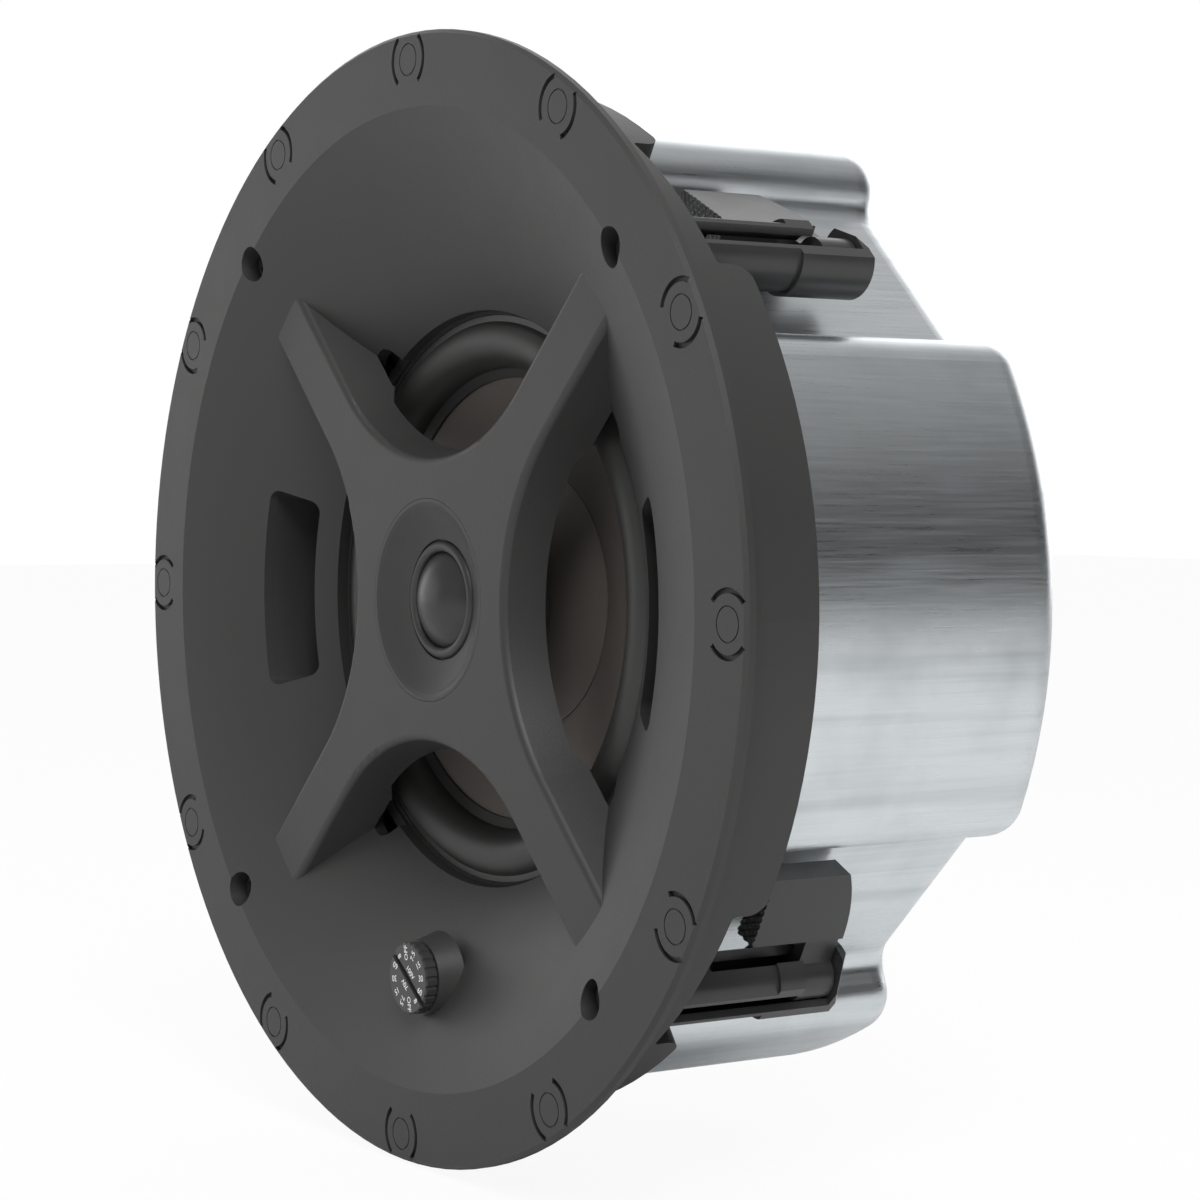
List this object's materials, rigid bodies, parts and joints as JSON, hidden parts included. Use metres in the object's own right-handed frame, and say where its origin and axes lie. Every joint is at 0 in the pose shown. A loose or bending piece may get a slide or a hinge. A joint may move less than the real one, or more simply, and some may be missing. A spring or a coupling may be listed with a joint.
{
  "type": "ceiling speaker",
  "caption": "Round in-ceiling coaxial speaker with cross bridge, slot ports, power dial, swing-out clamps and a steel back can.",
  "frame": {"origin": "centre of the flange's ceiling-side face, on the speaker's axis, where the cut-out collar starts", "axes": "+Y along the speaker's axis from the front to the back can, which is up into the ceiling void when fitted; +Z is the picture's up, opposite the power dial; +X is to the right seen from the front"},
  "size_m": [0.24, 0.095, 0.24],
  "materials": {
    "charcoal_plastic": "fine moulded texture",
    "clamp_plastic": "semi-gloss moulded",
    "black_plastic": "moulded",
    "dial_plastic": null,
    "zinc_steel": "zinc plated, drawn",
    "steel": "plated",
    "nickel_steel": "nickel plated",
    "black_steel": "powder coated",
    "brass": "turned",
    "rubber": "soft satin",
    "foam": "closed-cell foam",
    "cloth": "treated cloth",
    "cone_polymer": "matte moulded cone",
    "anodised_dome": "dark satin",
    "ferrite": "sintered",
    "copper_winding": "enamelled wire",
    "board": "laminate",
    "capacitor_sleeve": "sleeved"
  },
  "bodies": {
    "speaker": {"baffle": "charcoal_plastic", "grille_magnets": "nickel_steel", "back_can": "zinc_steel", "can_gasket": "foam", "can_screws": "steel", "cable_grommet": "rubber", "port_duct_right": "black_plastic", "port_duct_left": "black_plastic", "clamp_tower_1": "clamp_plastic", "clamp_tower_2": "clamp_plastic", "clamp_tower_3": "clamp_plastic", "clamp_tower_4": "clamp_plastic", "woofer_gasket": "foam", "woofer_surround": "rubber", "spider": "cloth", "woofer_basket": "black_steel", "top_plate": "steel", "woofer_magnet": "ferrite", "pole_piece": "steel", "woofer_screws": "steel", "tweeter_faceplate": "charcoal_plastic", "tweeter_surround": "rubber", "tweeter_frame": "black_plastic", "tweeter_yoke": "steel", "tweeter_pole": "steel", "tweeter_magnet": "nickel_steel", "tweeter_housing": "black_plastic", "tap_switch": "black_plastic", "transformer_core": "steel", "transformer_coil": "copper_winding", "transformer_strap": "steel", "strap_screws": "steel", "crossover_board": "board", "board_posts": "black_plastic", "crossover_coil": "copper_winding", "crossover_capacitors": "capacitor_sleeve"},
    "woofer_cone": {"woofer_cone": "cone_polymer", "dust_cap": "cone_polymer", "voice_coil": "copper_winding"},
    "tweeter_dome": {"tweeter_dome": "anodised_dome", "tweeter_coil": "copper_winding"},
    "power_dial": {"power_dial": "dial_plastic"},
    "clamp_screw_1": {"clamp_screw_1": "steel"},
    "clamp_nut_1": {"clamp_nut_1": "brass"},
    "dog_leg_1": {"dog_leg_1": "clamp_plastic"},
    "clamp_screw_2": {"clamp_screw_2": "steel"},
    "clamp_nut_2": {"clamp_nut_2": "brass"},
    "dog_leg_2": {"dog_leg_2": "clamp_plastic"},
    "clamp_screw_3": {"clamp_screw_3": "steel"},
    "clamp_nut_3": {"clamp_nut_3": "brass"},
    "dog_leg_3": {"dog_leg_3": "clamp_plastic"},
    "clamp_screw_4": {"clamp_screw_4": "steel"},
    "clamp_nut_4": {"clamp_nut_4": "brass"},
    "dog_leg_4": {"dog_leg_4": "clamp_plastic"}
  },
  "joints": [
    {"name": "woofer_travel", "type": "slide", "parent": "speaker", "child": "woofer_cone", "axis": [0, -1, 0], "range_m": [-0.004, 0.004], "stiffness_N_per_m": 1200, "deforming": ["woofer_surround", "spider"]},
    {"name": "tweeter_travel", "type": "slide", "parent": "speaker", "child": "tweeter_dome", "axis": [0, -1, 0], "range_m": [-0.0004, 0.0004], "stiffness_N_per_m": 800, "deforming": ["tweeter_surround"]},
    {"name": "dial_turn", "type": "hinge", "parent": "speaker", "child": "power_dial", "pos_m": [0, 0, -0.081], "axis": [0, 1, 0], "range_deg": [-150, 150]},
    {"name": "clamp_screw_turn_1", "type": "hinge", "parent": "speaker", "child": "clamp_screw_1", "pos_m": [0.07508, 0, 0.07051], "axis": [0, 1, 0], "range_deg": [0, 4951]},
    {"name": "clamp_travel_1", "type": "slide", "parent": "speaker", "child": "clamp_nut_1", "axis": [0, -1, 0], "range_m": [0, 0.022]},
    {"name": "dog_leg_swing_1", "type": "hinge", "parent": "clamp_nut_1", "child": "dog_leg_1", "pos_m": [0.07508, 0, 0.07051], "axis": [0, 1, 0], "range_deg": [0, 110]},
    {"name": "clamp_screw_turn_2", "type": "hinge", "parent": "speaker", "child": "clamp_screw_2", "pos_m": [-0.07051, 0, 0.07508], "axis": [0, 1, 0], "range_deg": [0, 4951]},
    {"name": "clamp_travel_2", "type": "slide", "parent": "speaker", "child": "clamp_nut_2", "axis": [0, -1, 0], "range_m": [0, 0.022]},
    {"name": "dog_leg_swing_2", "type": "hinge", "parent": "clamp_nut_2", "child": "dog_leg_2", "pos_m": [-0.07051, 0, 0.07508], "axis": [0, 1, 0], "range_deg": [0, 110]},
    {"name": "clamp_screw_turn_3", "type": "hinge", "parent": "speaker", "child": "clamp_screw_3", "pos_m": [-0.07508, 0, -0.07051], "axis": [0, 1, 0], "range_deg": [0, 4951]},
    {"name": "clamp_travel_3", "type": "slide", "parent": "speaker", "child": "clamp_nut_3", "axis": [0, -1, 0], "range_m": [0, 0.022]},
    {"name": "dog_leg_swing_3", "type": "hinge", "parent": "clamp_nut_3", "child": "dog_leg_3", "pos_m": [-0.07508, 0, -0.07051], "axis": [0, 1, 0], "range_deg": [0, 110]},
    {"name": "clamp_screw_turn_4", "type": "hinge", "parent": "speaker", "child": "clamp_screw_4", "pos_m": [0.07051, 0, -0.07508], "axis": [0, 1, 0], "range_deg": [0, 4951]},
    {"name": "clamp_travel_4", "type": "slide", "parent": "speaker", "child": "clamp_nut_4", "axis": [0, -1, 0], "range_m": [0, 0.022]},
    {"name": "dog_leg_swing_4", "type": "hinge", "parent": "clamp_nut_4", "child": "dog_leg_4", "pos_m": [0.07051, 0, -0.07508], "axis": [0, 1, 0], "range_deg": [0, 110]}
  ],
  "couplings": [
    {"joint": "clamp_screw_turn_1", "follows": "clamp_travel_1", "rad_per_m": 3927},
    {"joint": "clamp_screw_turn_2", "follows": "clamp_travel_2", "rad_per_m": 3927},
    {"joint": "clamp_screw_turn_3", "follows": "clamp_travel_3", "rad_per_m": 3927},
    {"joint": "clamp_screw_turn_4", "follows": "clamp_travel_4", "rad_per_m": 3927}
  ]
}
